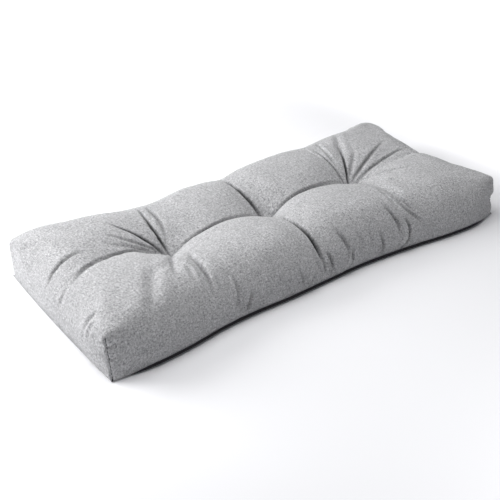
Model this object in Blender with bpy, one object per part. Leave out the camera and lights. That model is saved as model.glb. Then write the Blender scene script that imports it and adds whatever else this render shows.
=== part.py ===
"""A tufted bench cushion lying on its back: one filled solid, 45 x 18 x 4 inches.

The cover is cut from two panels. The top panel wraps over the soft top edges and down the four
sides, and a dart sewn at each corner makes the upright corner seam. The bottom panel meets it in
one seam that runs round the base, a little above the floor. Three tufts on the centre line pull
the top down, and folds run out from them.

Metres, +Z up. X runs along the length and -Y is the front. The origin is at the centre of the base.
"""

from collections import namedtuple

import bpy
import numpy as np

# --- The cover as it was cut
LENGTH = 1.143              # 45 in, from end to end
WIDTH = 0.457               # 18 in, from front to back

# --- The soft top edge
CORNER_RADIUS = 0.009       # crisp where a dart ends
EDGE_RADIUS = 0.068         # soft along the sides
EDGE_SOFTENS_OVER = 0.140   # distance from a corner to the full radius

# --- The sides
SEAM_CORNER = 0.002         # the bottom seam stands this far off the floor at a corner
SEAM_HEIGHT = 0.008         # and this far between the corners
SEAM_RISES_OVER = 0.100
SIDE_BULGE = 0.006          # how far a wall swells out between the seam and the top edge
BULGE_GROWS_OVER = 0.120    # distance from a corner to the full swell
LONG_WALL_FROM = 0.750      # the swell starts this far out, as a share of the half width
END_WALL_FROM = 0.875       # and this far out, as a share of the half length
END_BOW = 0.004             # how far the middle of each end stands proud of its corners

# --- The underside
CURL_WIDTH = 0.045          # the strip that rises from the straight-edged flat to the seam
UNDER_TUFT_DEPTH = 0.012    # the tufts pull the underside up as well
UNDER_TUFT_RADIUS = 0.070

# --- The tufts
TUFT_SPACING = LENGTH / 4
TUFT_DEPTH = 0.050
TUFT_SPREAD = 0.040

# --- The mesh
GRID_STEP = 0.005
SIDE_ROWS = 24
TRIANGLES = 11600
FLAT_SLACK = 0.00002        # points of the underside this near the floor are set down on it

# --- Cross-sections from left to right: where the front and back walls stand, how far the front wall's
# top leans back from its foot, the height of the cloth at the front edge, over the front lobe, along the
# middle, over the back lobe and at the back edge, and how the lobes roll into the middle (0.6 is a tight
# groove, 1.2 an open dish)
Section = namedtuple("Section", "x front back lean front_edge front_lobe middle back_lobe back_edge roll")
SECTIONS = [
    Section(-0.571, -0.238, 0.232, 0.016, 0.103, 0.112, 0.111, 0.110, 0.101, 1.10),
    Section(-0.500, -0.246, 0.235, 0.012, 0.115, 0.128, 0.116, 0.126, 0.122, 0.95),
    Section(-0.400, -0.243, 0.232, 0.006, 0.112, 0.132, 0.104, 0.129, 0.127, 0.75),
    Section(-0.286, -0.229, 0.224, 0.004, 0.100, 0.121, 0.090, 0.117, 0.110, 0.65),
    Section(-0.230, -0.226, 0.222, 0.004, 0.098, 0.122, 0.091, 0.113, 0.105, 0.62),
    Section(-0.110, -0.229, 0.224, 0.004, 0.105, 0.131, 0.096, 0.121, 0.115, 0.60),
    Section(0.000, -0.227, 0.223, 0.004, 0.100, 0.123, 0.089, 0.116, 0.111, 0.60),
    Section(0.110, -0.225, 0.226, 0.004, 0.105, 0.131, 0.096, 0.125, 0.124, 0.60),
    Section(0.200, -0.231, 0.228, 0.004, 0.107, 0.130, 0.092, 0.127, 0.126, 0.62),
    Section(0.286, -0.240, 0.230, 0.004, 0.104, 0.122, 0.090, 0.120, 0.117, 0.75),
    Section(0.400, -0.256, 0.236, 0.006, 0.110, 0.128, 0.105, 0.126, 0.124, 1.10),
    Section(0.500, -0.259, 0.235, 0.008, 0.112, 0.122, 0.107, 0.119, 0.117, 1.20),
    Section(0.571, -0.244, 0.229, 0.009, 0.107, 0.108, 0.099, 0.106, 0.097, 1.20),
]
LOBE_AT = 0.50              # where the lobes stand, as a share of the way from the middle to a wall

# --- Folds on the cover laid flat: where each starts and ends, how far it bows to its left, the share
# of its length where it is deepest, how wide it is from its line to its foot, how deep, and how far the
# cloth on its left laps over it (0 is even, 1 is steep on the left and slack on the right)
Fold = namedtuple("Fold", "x0 y0 x1 y1 bow peak width depth lap")
FOLDS = [
    # round the left tuft
    Fold(-0.296, 0.002, -0.550, -0.036, -0.025, 0.25, 0.011, 0.012, 0.5),
    Fold(-0.480, 0.050, -0.600, 0.020, -0.003, 0.50, 0.009, 0.007, 0.5),
    Fold(-0.292, 0.014, -0.380, 0.142, -0.012, 0.15, 0.008, 0.009, 0.0),
    Fold(-0.296, 0.016, -0.385, 0.085, -0.006, 0.15, 0.007, 0.005, 0.0),
    Fold(-0.300, 0.012, -0.430, 0.050, -0.010, 0.25, 0.007, 0.004, 0.0),
    Fold(-0.280, 0.010, -0.260, 0.225, -0.002, 0.20, 0.009, 0.011, 0.0),
    Fold(-0.262, 0.030, -0.222, 0.200, 0.004, 0.50, 0.009, 0.007, 0.0),
    Fold(-0.288, -0.030, -0.360, -0.150, -0.002, 0.20, 0.014, 0.006, 0.0),
    Fold(-0.276, -0.040, -0.308, -0.260, 0.006, 0.35, 0.012, 0.007, 0.0),
    # round the middle tuft, and straight across the cushion
    Fold(0.000, 0.000, 0.004, 0.290, 0.000, 0.30, 0.028, 0.007, 0.0),
    Fold(-0.004, 0.010, 0.006, 0.260, 0.005, 0.35, 0.008, 0.011, 0.0),
    Fold(-0.004, 0.000, 0.006, -0.330, -0.012, 0.50, 0.030, 0.006, 0.0),
    Fold(-0.004, -0.060, 0.010, -0.310, -0.014, 0.50, 0.009, 0.010, 0.0),
    # round the right tuft
    Fold(0.280, 0.010, 0.385, 0.190, 0.008, 0.15, 0.009, 0.011, 0.0),
    Fold(0.278, 0.015, 0.291, 0.190, 0.000, 0.30, 0.010, 0.007, 0.0),
    Fold(0.292, 0.012, 0.365, 0.075, 0.008, 0.30, 0.008, 0.006, 0.0),
    Fold(0.296, 0.010, 0.455, 0.070, 0.004, 0.20, 0.009, 0.008, 0.0),
    Fold(0.298, 0.002, 0.530, 0.018, -0.002, 0.20, 0.010, 0.008, 0.0),
    Fold(0.300, -0.008, 0.450, -0.090, 0.004, 0.25, 0.011, 0.006, 0.0),
    Fold(0.280, -0.050, 0.285, -0.200, -0.006, 0.40, 0.016, 0.005, 0.0),
    # down the front
    Fold(0.048, -0.170, 0.084, -0.325, 0.006, 0.65, 0.011, 0.009, 0.0),
    Fold(0.150, -0.230, 0.188, -0.335, 0.004, 0.60, 0.010, 0.006, 0.0),
    Fold(0.215, -0.150, 0.254, -0.335, -0.006, 0.65, 0.010, 0.012, 0.0),
    Fold(0.258, -0.130, 0.312, -0.285, -0.010, 0.50, 0.012, 0.006, 0.0),
    Fold(-0.268, -0.220, -0.220, -0.310, -0.004, 0.50, 0.012, 0.005, 0.0),
    Fold(-0.530, -0.145, -0.600, -0.146, 0.000, 0.50, 0.010, 0.004, 0.0),
]
SHOULDER = 0.18             # how high the cloth rolls up beside a fold, as a share of its depth
SHOULDER_AT = 2.0           # and how far from the fold's line, in fold widths
LAP_SHARE = 0.6             # how much narrower the steep side of a full lap is
FOLD_STEPS = 16             # straight steps along a fold's line


def smooth(x):
    """0 up to x = 0, 1 from x = 1, and a soft step between."""
    x = np.clip(x, 0.0, 1.0)
    return x * x * (3.0 - 2.0 * x)


def through(x, knots, values):
    """A smooth curve through the knots, read at x."""
    knots, values = np.asarray(knots), np.asarray(values)
    slopes = np.gradient(values, knots)
    i = np.clip(np.searchsorted(knots, x) - 1, 0, len(knots) - 2)
    span = knots[i + 1] - knots[i]
    t = np.clip((x - knots[i]) / span, 0.0, 1.0)
    start = values[i] * (1.0 + 2.0 * t) * (1.0 - t) ** 2 + slopes[i] * span * t * (1.0 - t) ** 2
    end = values[i + 1] * t * t * (3.0 - 2.0 * t) - slopes[i + 1] * span * t * t * (1.0 - t)
    return start + end


def section(x, column):
    """One column of the cross-sections, read at x."""
    return through(x, [s.x for s in SECTIONS], [getattr(s, column) for s in SECTIONS])


def tuft_distance(x, y):
    """How far each point is from the nearest tuft, in plan."""
    return np.min([np.hypot(x - tuft * TUFT_SPACING, y) for tuft in (-1, 0, 1)], axis=0)


def top_height(x, v):
    """Height of the cloth at x and at v, from -1 at the front wall to 1 at the back wall."""
    edge = np.where(v < 0, section(x, "front_edge"), section(x, "back_edge"))
    lobe = np.where(v < 0, section(x, "front_lobe"), section(x, "back_lobe"))
    middle = section(x, "middle")
    rise = (1.0 - (1.0 - np.clip(abs(v) / LOBE_AT, 0.0, 1.0)) ** 2) ** section(x, "roll")
    fall = np.clip((abs(v) - LOBE_AT) / (1.0 - LOBE_AT), 0.0, 1.0) ** 2
    height = middle + (lobe - middle) * rise + (edge - lobe) * fall
    return height - TUFT_DEPTH * np.exp(-tuft_distance(x, v * WIDTH / 2) / TUFT_SPREAD)


def box_grid(cells):
    """Corner numbers (i, j, k) on the skin of a box of cells, and its faces as four such corners each."""
    faces = []
    for axis in range(3):
        across, up = (axis + 1) % 3, (axis + 2) % 3
        for side in (0, cells[axis]):
            for a in range(cells[across]):
                for b in range(cells[up]):
                    ring = []
                    for da, db in ((0, 0), (1, 0), (1, 1), (0, 1)):
                        corner = [0, 0, 0]
                        corner[axis], corner[across], corner[up] = side, a + da, b + db
                        ring.append(tuple(corner))
                    faces.append(ring if side else ring[::-1])
    corners = sorted({corner for ring in faces for corner in ring})
    return corners, faces


def base_shape(u, v, h):
    """Places the points of the box (u and v from -1 to 1, h from 0 to 1) on the cushion, before its folds."""
    x, y = u * LENGTH / 2, v * WIDTH / 2
    top = top_height(x, v)
    from_corner = np.maximum(LENGTH / 2 - abs(x), WIDTH / 2 - abs(y))
    seam = SEAM_CORNER + (SEAM_HEIGHT - SEAM_CORNER) * smooth(from_corner / SEAM_RISES_OVER)
    z = seam + h * (top - seam)

    # the top edges and the upright corners, as balls rolled along the inside of the box; the lift carries
    # the slope of the top on round its edges
    radius = CORNER_RADIUS + (EDGE_RADIUS - CORNER_RADIUS) * smooth(from_corner / EDGE_SOFTENS_OVER)
    core = np.stack([np.clip(x, -LENGTH / 2 + radius, LENGTH / 2 - radius),
                     np.clip(y, -WIDTH / 2 + radius, WIDTH / 2 - radius),
                     np.minimum(z, top - radius)])
    out = np.stack([x, y, z]) - core
    reach = np.maximum(np.linalg.norm(out, axis=0), np.finfo(float).eps)
    under = h <= 0.0
    x, y, z = np.where(under, np.stack([x, y, z]), core + out * np.minimum(radius / reach, 1.0))
    lift = np.where(under, 0.0, top_height(x, y / (WIDTH / 2)) - top)

    # the underside, from the seam in to the floor
    inside = np.minimum(LENGTH / 2 - abs(x), WIDTH / 2 - abs(y))
    dimple = UNDER_TUFT_DEPTH * np.clip(1.0 - tuft_distance(x, y) / UNDER_TUFT_RADIUS, 0.0, 1.0) ** 2
    flat = np.clip(inside / CURL_WIDTH, 0.0, 1.0)
    z = np.where(under, seam * (1.0 - flat) + dimple, z)

    # the walls: their plan, and the swell between the seam and the top edge
    up = np.clip(z / top, 0.0, 1.0)
    swell = np.sin(np.pi * up) * SIDE_BULGE
    on_long_wall = smooth((abs(v) - LONG_WALL_FROM) / (1.0 - LONG_WALL_FROM))
    on_end_wall = smooth((abs(u) - END_WALL_FROM) / (1.0 - END_WALL_FROM))
    long_side = swell * on_long_wall * smooth((LENGTH / 2 - abs(x)) / BULGE_GROWS_OVER)
    end_side = swell * on_end_wall * smooth((WIDTH / 2 - abs(y)) / BULGE_GROWS_OVER)
    front, back = section(x, "front"), section(x, "back")
    share = y / WIDTH + 0.5
    lean = section(x, "lean") * up * (1.0 - share) ** 2
    plan_y = front + (back - front) * share + lean + np.sign(v) * long_side * (z > 0)
    plan_y = np.where(under, plan_y + (y - plan_y) * smooth(flat), plan_y)
    plan_x = x + u * END_BOW * (1.0 - v * v) * (1.0 - flat * under) + np.sign(u) * end_side
    return np.stack([plan_x, plan_y, z + lift], axis=1)


def laid_flat(u, v, h):
    """Where each point lies on the cover once its sides are folded out into the plane of the top."""
    drop = (1.0 - h) * (section(u * LENGTH / 2, "front_edge") - SEAM_HEIGHT)
    flat_x = u * LENGTH / 2 + np.where(abs(u) >= 1.0, np.sign(u) * drop, 0.0)
    flat_y = v * WIDTH / 2 + np.where(abs(v) >= 1.0, np.sign(v) * drop, 0.0)
    return flat_x, flat_y


def from_fold(fold, flat_x, flat_y):
    """Each point's distance from a fold's line, the side it is on (1 is left), and its share of the way."""
    start, end = np.array([fold.x0, fold.y0]), np.array([fold.x1, fold.y1])
    run = end - start
    left = np.array([-run[1], run[0]]) / np.hypot(*run)
    t = np.linspace(0.0, 1.0, FOLD_STEPS + 1)[:, None]
    line = start + run * t + left * fold.bow * 4.0 * t * (1.0 - t)
    away = np.full_like(flat_x, np.inf)
    side, along = np.zeros_like(flat_x), np.zeros_like(flat_x)
    for step, (a, b) in enumerate(zip(line, line[1:])):
        leg = b - a
        dx, dy = flat_x - a[0], flat_y - a[1]
        share = np.clip((dx * leg[0] + dy * leg[1]) / (leg @ leg), 0.0, 1.0)
        gap = np.hypot(dx - share * leg[0], dy - share * leg[1])
        nearer = gap < away
        away = np.where(nearer, gap, away)
        side = np.where(nearer, np.sign(leg[0] * dy - leg[1] * dx), side)
        along = np.where(nearer, (step + share) / FOLD_STEPS, along)
    return away, side, along


def fold_depth(flat_x, flat_y):
    """How far the folds press the cloth in at each point."""
    depth = np.zeros_like(flat_x)
    for fold in FOLDS:
        away, side, along = from_fold(fold, flat_x, flat_y)
        across = away / (fold.width * (1.0 - LAP_SHARE * fold.lap * side))
        trough = np.exp(-across ** 2) - SHOULDER * np.exp(-(across - SHOULDER_AT) ** 2)
        growing = smooth(along / fold.peak)
        fading = 1.0 - smooth((along - fold.peak) / (1.0 - fold.peak))
        depth += fold.depth * trough * growing * fading
    return depth


def fabric():
    """The cover's grey cloth."""
    material = bpy.data.materials.new("grey_fabric")
    material.use_nodes = True
    shader = material.node_tree.nodes["Principled BSDF"]
    shader.inputs["Base Color"].default_value = (0.42, 0.42, 0.43, 1.0)
    shader.inputs["Roughness"].default_value = 0.9
    shader.inputs["Metallic"].default_value = 0.0
    return material


def cushion():
    """The filled cover, as one closed solid."""
    cells = (round(LENGTH / GRID_STEP), round(WIDTH / GRID_STEP), SIDE_ROWS)
    corners, faces = box_grid(cells)
    grid = np.array(corners, dtype=float) / np.array(cells)
    u, v, h = grid[:, 0] * 2 - 1, grid[:, 1] * 2 - 1, grid[:, 2]
    points = base_shape(u, v, h)

    mesh = bpy.data.meshes.new("cushion")
    number = {corner: n for n, corner in enumerate(corners)}
    mesh.from_pydata(points.tolist(), [], [[number[corner] for corner in ring] for ring in faces])
    normals = np.array([vertex.normal[:] for vertex in mesh.vertices])
    pressed = points - normals * (fold_depth(*laid_flat(u, v, h)) * (h > 0))[:, None]
    pressed[:, :2] -= (pressed[:, :2].min(axis=0) + pressed[:, :2].max(axis=0)) / 2
    mesh.vertices.foreach_set("co", pressed.ravel())
    mesh.shade_smooth()

    body = bpy.data.objects.new("cushion", mesh)
    bpy.context.scene.collection.objects.link(body)
    fewer = body.modifiers.new("fewer faces", "DECIMATE")
    fewer.ratio = TRIANGLES / (2 * len(mesh.polygons))
    body.data = bpy.data.meshes.new_from_object(body.evaluated_get(bpy.context.evaluated_depsgraph_get()))
    body.modifiers.clear()
    for vertex in body.data.vertices:
        if abs(vertex.co.z) < FLAT_SLACK:
            vertex.co.z = 0.0
    body.data.materials.append(fabric())
    return body


for old in list(bpy.data.objects):
    bpy.data.objects.remove(old)
cushion()
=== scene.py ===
"""The looks of a tufted bench cushion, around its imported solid.

The cover takes the solid's sizes, cross-sections and folds at a finer step. Its folds are sharper, as
cloth folds are, and it has the small creases, puckers, seams and threads that the solid leaves out.
Metres, +Z up, in the solid's frame. X runs along the length and -Y is the front.
"""

import math
from collections import namedtuple

import bmesh
import bpy
import numpy as np
from mathutils import Matrix, Vector, kdtree, noise


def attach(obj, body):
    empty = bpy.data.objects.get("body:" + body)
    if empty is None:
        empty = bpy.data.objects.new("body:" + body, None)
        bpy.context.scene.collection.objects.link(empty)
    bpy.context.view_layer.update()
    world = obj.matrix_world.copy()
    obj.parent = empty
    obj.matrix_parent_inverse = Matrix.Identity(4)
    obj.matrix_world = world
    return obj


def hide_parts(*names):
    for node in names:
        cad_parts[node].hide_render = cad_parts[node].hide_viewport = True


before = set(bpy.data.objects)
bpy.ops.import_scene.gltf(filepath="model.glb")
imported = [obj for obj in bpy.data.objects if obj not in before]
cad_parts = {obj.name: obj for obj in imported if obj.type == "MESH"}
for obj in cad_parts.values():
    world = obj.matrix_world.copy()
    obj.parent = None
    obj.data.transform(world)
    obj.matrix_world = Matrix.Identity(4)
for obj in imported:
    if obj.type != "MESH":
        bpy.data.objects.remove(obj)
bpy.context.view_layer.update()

# ---------------------------------------------------------------- the solid's sizes
LENGTH, WIDTH = 1.143, 0.457
CORNER_RADIUS, EDGE_RADIUS, EDGE_SOFTENS_OVER = 0.009, 0.068, 0.140
# the seam round the bottom panel: its height at the corners and between them
SEAM_CORNER, SEAM_HEIGHT, SEAM_RISES_OVER = 0.002, 0.0115, 0.100
FOOT, FOOT_OUT = 0.0066, 0.008        # the bottom panel rolls out below the seam and back to the floor
END_FOOT = 0.050                      # and at the ends, from this far in, the seam drops to the floor
SIDE_BULGE, BULGE_GROWS_OVER = 0.006, 0.120
# the shares of the half width and half length from which the cloth swells with the walls, and how far the
# end walls bow out
LONG_WALL_FROM, END_WALL_FROM, END_BOW = 0.750, 0.875, 0.004
# the underside: how far in from its rim it follows the walls' plan, and the hollow under each tuft
CURL_WIDTH, UNDER_TUFT_DEPTH, UNDER_TUFT_RADIUS = 0.045, 0.012, 0.070
TUFTS = (-1, 0, 1)                    # along the centre line, in spacings from the middle
TUFT_SPACING, TUFT_DEPTH, TUFT_SPREAD = LENGTH / 4, 0.050, 0.040
LOBE_AT = 0.50                        # where the lobes stand highest, as a share of the half width
FRONT_ROLL, BACK_ROLL = 0.62, 1.45    # the front lobes roll over the middle groove, the back ones run into it
MIDDLE = (-0.00018, -0.01035)         # the middle of the cover's box before it is centred

# Cross-sections from left to right: the front and back walls, the front wall's lean, the heights over the
# front edge, front lobe, middle, back lobe and back edge, how the lobes roll into the middle, and how far
# back of the centre line they meet, as a share of the half width
Section = namedtuple("Section",
                     "x front back lean front_edge front_lobe middle back_lobe back_edge roll bend")
SECTIONS = [
    Section(-0.571, -0.238, 0.232, 0.016, 0.103, 0.112, 0.111, 0.110, 0.101, 1.10, -0.15),
    Section(-0.500, -0.246, 0.235, 0.012, 0.115, 0.128, 0.116, 0.126, 0.122, 0.95, -0.03),
    Section(-0.400, -0.243, 0.232, 0.006, 0.112, 0.132, 0.104, 0.129, 0.127, 0.75, 0.10),
    Section(-0.286, -0.229, 0.224, 0.004, 0.100, 0.121, 0.090, 0.117, 0.110, 0.65, 0.00),
    Section(-0.230, -0.226, 0.222, 0.004, 0.098, 0.122, 0.091, 0.113, 0.105, 0.62, 0.00),
    Section(-0.110, -0.229, 0.224, 0.004, 0.105, 0.131, 0.096, 0.121, 0.115, 0.60, 0.00),
    Section(0.000, -0.227, 0.223, 0.004, 0.100, 0.123, 0.089, 0.116, 0.111, 0.60, 0.00),
    Section(0.110, -0.225, 0.226, 0.004, 0.105, 0.131, 0.096, 0.125, 0.124, 0.60, 0.00),
    Section(0.200, -0.231, 0.228, 0.004, 0.107, 0.130, 0.092, 0.127, 0.126, 0.62, 0.00),
    Section(0.286, -0.240, 0.230, 0.004, 0.104, 0.122, 0.090, 0.120, 0.117, 0.75, 0.00),
    Section(0.400, -0.256, 0.236, 0.006, 0.110, 0.128, 0.105, 0.126, 0.124, 1.10, 0.00),
    Section(0.500, -0.259, 0.235, 0.008, 0.112, 0.122, 0.107, 0.119, 0.117, 1.20, 0.00),
    Section(0.571, -0.244, 0.229, 0.009, 0.107, 0.108, 0.099, 0.106, 0.097, 1.20, 0.00),
]

# Folds on the cover laid flat: where each starts and ends, how far it bows to its left, the share of its
# length where it is deepest, how wide it is from its line to its foot, how deep, and how far the cloth on
# its left laps over it (0 is even, 1 is steep on the left and slack on the right), and how much painted
# shade darkens its colour, standing in for the little light that gets down into it. A fold with its depth
# below zero is a ridge.
Fold = namedtuple("Fold", "x0 y0 x1 y1 bow peak width depth lap dark", defaults=(0.0,))
FOLDS = [
    # broad dips between the lobes and in front of the tufts
    Fold(0.000, 0.000, 0.004, 0.290, 0.000, 0.30, 0.0280, 0.0070, 0.0),
    Fold(-0.004, 0.000, 0.006, -0.330, -0.012, 0.50, 0.0300, 0.0060, 0.0),
    Fold(-0.288, -0.030, -0.360, -0.150, -0.002, 0.20, 0.0140, 0.0060, 0.0),
    Fold(-0.372, -0.085, -0.456, -0.218, -0.006, 0.50, 0.0130, 0.0060, 0.0),
    Fold(-0.280, -0.040, -0.305, -0.250, 0.001, 0.35, 0.0120, 0.0045, 0.0),
    Fold(0.280, -0.050, 0.285, -0.200, -0.006, 0.40, 0.0160, 0.0050, 0.0),
    Fold(0.315, 0.082, 0.400, 0.193, 0.000, 0.40, 0.0090, 0.0060, 0.0),
    # where the front lobes lap over the middle
    Fold(-0.284, 0.006, -0.565, -0.040, -0.026, 0.40, 0.0045, 0.0070, 0.9, 0.50),
    Fold(-0.010, 0.000, -0.276, 0.000, 0.000, 0.50, 0.0045, 0.0080, 0.9, 0.50),
    Fold(0.276, 0.000, 0.010, 0.000, 0.000, 0.50, 0.0045, 0.0080, 0.9, 0.50),
    # painted shade behind the front lobes: these folds barely press the cloth in and mostly darken its colour
    Fold(0.002, 0.020, -0.254, 0.005, 0.000, 0.50, 0.0050, 0.0010, 0.0, 0.50),
    Fold(0.022, 0.007, 0.284, 0.024, -0.002, 0.50, 0.0050, 0.0010, 0.0, 0.55),
    Fold(-0.286, 0.019, -0.482, 0.008, -0.0155, 0.50, 0.0050, 0.0010, 0.0, 0.60),
    Fold(-0.440, 0.022, -0.535, -0.028, -0.0045, 0.40, 0.0045, 0.0010, 0.0, 0.35),
    # round the left tuft
    Fold(-0.275, 0.004, -0.265, 0.168, 0.008, 0.30, 0.0028, 0.0130, 0.0, 0.85),
    Fold(-0.278, 0.006, -0.372, 0.133, 0.002, 0.40, 0.0030, 0.0110, 0.0, 0.90),
    Fold(-0.286, 0.014, -0.405, 0.094, 0.003, 0.30, 0.0038, 0.0040, 0.0, 0.30),
    Fold(-0.293, 0.016, -0.415, 0.068, 0.005, 0.30, 0.0042, 0.0026, 0.0, 0.20),
    Fold(-0.244, 0.166, -0.266, 0.030, 0.006, 0.35, 0.0042, 0.0090, 0.0, 0.25),
    Fold(-0.288, -0.010, -0.300, -0.060, 0.000, 0.40, 0.0050, 0.0050, 0.0, 0.15),
    Fold(-0.300, -0.035, -0.358, -0.145, 0.001, 0.35, 0.0050, 0.0045, 0.0),
    Fold(-0.276, -0.070, -0.304, -0.235, 0.001, 0.45, 0.0042, 0.0095, 0.0, 0.25),
    Fold(-0.313, -0.121, -0.327, -0.187, -0.002, 0.50, 0.0055, 0.0035, 0.0),
    # the left end
    Fold(-0.462, 0.054, -0.602, 0.031, -0.003, 0.50, 0.0038, 0.0065, 0.9, 0.32),
    Fold(-0.550, -0.023, -0.612, -0.035, -0.002, 0.50, 0.0050, 0.0032, 0.0),
    Fold(-0.545, -0.154, -0.618, -0.141, 0.000, 0.35, 0.0055, 0.0038, 0.0),
    Fold(-0.565, -0.172, -0.612, -0.160, 0.000, 0.45, 0.0060, 0.0022, 0.0),
    # straight across the cushion, between its two pairs of lobes
    Fold(0.000, 0.000, -0.011, 0.195, 0.001, 0.40, 0.0044, 0.0230, 0.0, 1.00),
    Fold(-0.008, 0.033, -0.013, 0.133, 0.000, 0.50, 0.0040, 0.0030, 0.0),
    Fold(-0.010, -0.070, -0.006, -0.272, -0.001, 0.65, 0.0044, 0.0230, 0.0, 1.00),
    Fold(-0.006, -0.258, -0.007, -0.303, 0.003, 0.50, 0.0040, 0.0055, 0.0, 0.30),
    Fold(0.009, -0.245, 0.011, -0.314, 0.007, 0.55, 0.0042, 0.0095, 0.0, 0.45),
    Fold(0.002, -0.245, 0.004, -0.314, 0.007, 0.55, 0.0036, -0.0045, 0.0),
    Fold(0.021, -0.272, 0.024, -0.318, 0.000, 0.60, 0.0042, 0.0045, 0.0),
    Fold(-0.030, -0.235, -0.016, -0.302, 0.000, 0.60, 0.0045, 0.0050, 0.0),
    # round the right tuft
    Fold(0.281, 0.006, 0.353, 0.134, 0.001, 0.30, 0.0028, 0.0120, 0.0, 0.90),
    Fold(0.276, 0.010, 0.277, 0.162, 0.003, 0.30, 0.0030, 0.0075, 0.0, 0.45),
    Fold(0.262, 0.100, 0.262, 0.180, 0.002, 0.50, 0.0040, 0.0035, 0.0),
    Fold(0.280, 0.050, 0.317, 0.184, 0.002, 0.50, 0.0048, 0.0045, 0.0),
    Fold(0.290, 0.022, 0.368, 0.082, 0.001, 0.30, 0.0045, 0.0055, 0.0, 0.15),
    Fold(0.296, 0.018, 0.480, 0.085, -0.003, 0.30, 0.0036, 0.0062, 0.0, 0.40),
    Fold(0.305, 0.010, 0.522, 0.034, 0.000, 0.30, 0.0036, 0.0060, 0.0, 0.35),
    Fold(0.314, 0.006, 0.436, -0.077, -0.013, 0.40, 0.0036, 0.0045, 0.0, 0.15),
    Fold(0.306, -0.040, 0.362, -0.113, -0.012, 0.50, 0.0036, 0.0040, 0.0, 0.10),
    Fold(0.497, 0.070, 0.505, -0.030, 0.017, 0.50, 0.0042, 0.0045, 0.0),
    Fold(0.465, 0.058, 0.472, -0.036, 0.022, 0.50, 0.0042, 0.0035, 0.0),
    # down the front
    Fold(-0.242, -0.195, -0.257, -0.290, 0.005, 0.55, 0.0042, 0.0065, 0.0, 0.20),
    Fold(-0.249, -0.195, -0.264, -0.290, 0.005, 0.55, 0.0038, -0.0030, 0.0),
    Fold(-0.209, -0.258, -0.240, -0.316, 0.001, 0.60, 0.0042, 0.0060, 0.0, 0.20),
    Fold(-0.215, -0.256, -0.247, -0.314, 0.001, 0.60, 0.0038, -0.0035, 0.0),
    Fold(-0.150, -0.240, -0.140, -0.300, 0.003, 0.60, 0.0050, 0.0028, 0.0),
    Fold(-0.120, -0.265, -0.106, -0.332, 0.000, 0.60, 0.0055, 0.0028, 0.0),
    Fold(-0.082, -0.258, -0.071, -0.314, 0.000, 0.60, 0.0040, 0.0045, 0.0, 0.15),
    Fold(-0.088, -0.258, -0.077, -0.314, 0.000, 0.60, 0.0034, -0.0030, 0.0),
    Fold(-0.034, -0.282, -0.058, -0.319, 0.000, 0.60, 0.0042, 0.0060, 0.0, 0.30),
    Fold(-0.041, -0.279, -0.065, -0.316, 0.000, 0.60, 0.0036, -0.0035, 0.0),
    Fold(0.053, -0.190, 0.075, -0.296, 0.004, 0.60, 0.0045, 0.0095, 0.0, 0.30),
    Fold(0.084, -0.264, 0.044, -0.325, 0.015, 0.50, 0.0042, 0.0095, 0.0, 0.40),
    Fold(0.077, -0.264, 0.037, -0.322, 0.015, 0.50, 0.0036, -0.0055, 0.0),
    Fold(0.108, -0.220, 0.116, -0.296, 0.002, 0.60, 0.0045, 0.0045, 0.0, 0.10),
    Fold(0.143, -0.235, 0.146, -0.286, 0.000, 0.50, 0.0042, 0.0042, 0.0, 0.10),
    Fold(0.172, -0.255, 0.174, -0.325, 0.004, 0.55, 0.0042, 0.0080, 0.0, 0.40),
    Fold(0.165, -0.255, 0.167, -0.323, 0.004, 0.55, 0.0036, -0.0035, 0.0),
    Fold(0.217, -0.175, 0.234, -0.286, 0.004, 0.55, 0.0042, 0.0105, 0.0, 0.45),
    Fold(0.258, -0.240, 0.236, -0.322, 0.013, 0.60, 0.0045, 0.0135, 0.0, 0.75),
    Fold(0.250, -0.240, 0.228, -0.319, 0.013, 0.60, 0.0038, -0.0065, 0.0),
    Fold(0.254, -0.120, 0.257, -0.212, -0.005, 0.50, 0.0045, 0.0042, 0.0),
    Fold(0.276, -0.122, 0.300, -0.238, -0.006, 0.50, 0.0048, 0.0065, 0.0, 0.15),
    Fold(0.284, -0.122, 0.308, -0.238, -0.006, 0.50, 0.0040, -0.0025, 0.0),
    Fold(0.261, -0.165, 0.312, -0.275, -0.008, 0.55, 0.0048, 0.0068, 0.0, 0.20),
    Fold(0.332, -0.245, 0.340, -0.325, 0.000, 0.60, 0.0060, 0.0030, 0.0),
    # puckers across the front corners' seams
    Fold(-0.5715, -0.2525, -0.540, -0.249, 0.000, 0.15, 0.0045, 0.0030, 0.0),
    Fold(-0.5960, -0.2285, -0.590, -0.196, 0.002, 0.15, 0.0045, 0.0035, 0.0),
    Fold(-0.5715, -0.2770, -0.546, -0.276, 0.000, 0.15, 0.0045, 0.0025, 0.0),
    Fold(-0.6200, -0.2285, -0.616, -0.204, 0.000, 0.15, 0.0045, 0.0030, 0.0),
    Fold(0.5715, -0.2830, 0.548, -0.280, 0.000, 0.15, 0.0090, 0.0050, 0.0),
    Fold(0.6260, -0.2285, 0.622, -0.200, 0.000, 0.15, 0.0090, 0.0050, 0.0),
]
SHARPNESS = 1.8             # 2 is a round-bottomed fold, 1 a knife crease
SHOULDER = 0.35             # how high the cloth rolls up beside a fold, as a share of its depth or width
SHOULDER_AT = 2.0           # and how far from the fold's line, in fold widths
LAP_SHARE = 0.6             # how much narrower the steep side of a full lap is
FOLD_FULLNESS = 0.5         # below 1, a fold keeps its depth further on towards its ends
# painted shade: how far out from a fold its colour is darkened, in fold widths, and how abruptly that ends
PAINTED_SHADE_REACH, PAINTED_SHADE_EDGE = 1.2, 6        # how far out a fold is dark, in fold widths, and how abruptly that ends
FOLD_STEPS = 16             # straight steps along a fold's line
FOLD_REACH = 5.0            # how far out a fold is worked out, in fold widths

# Short puckers where the bottom seam gathers the cloth, all round, drawn by chance between two sizes
PUCKER_SPACING = (0.030, 0.052)
PUCKER_LENGTH = (0.014, 0.030)
PUCKER_DEPTH = (0.0010, 0.0022)
PUCKER_SLANT = (-0.006, 0.006)
PUCKER_WIDTH, PUCKER_PEAK = 0.0048, 0.2
PUCKER_SEED = 11

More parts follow.
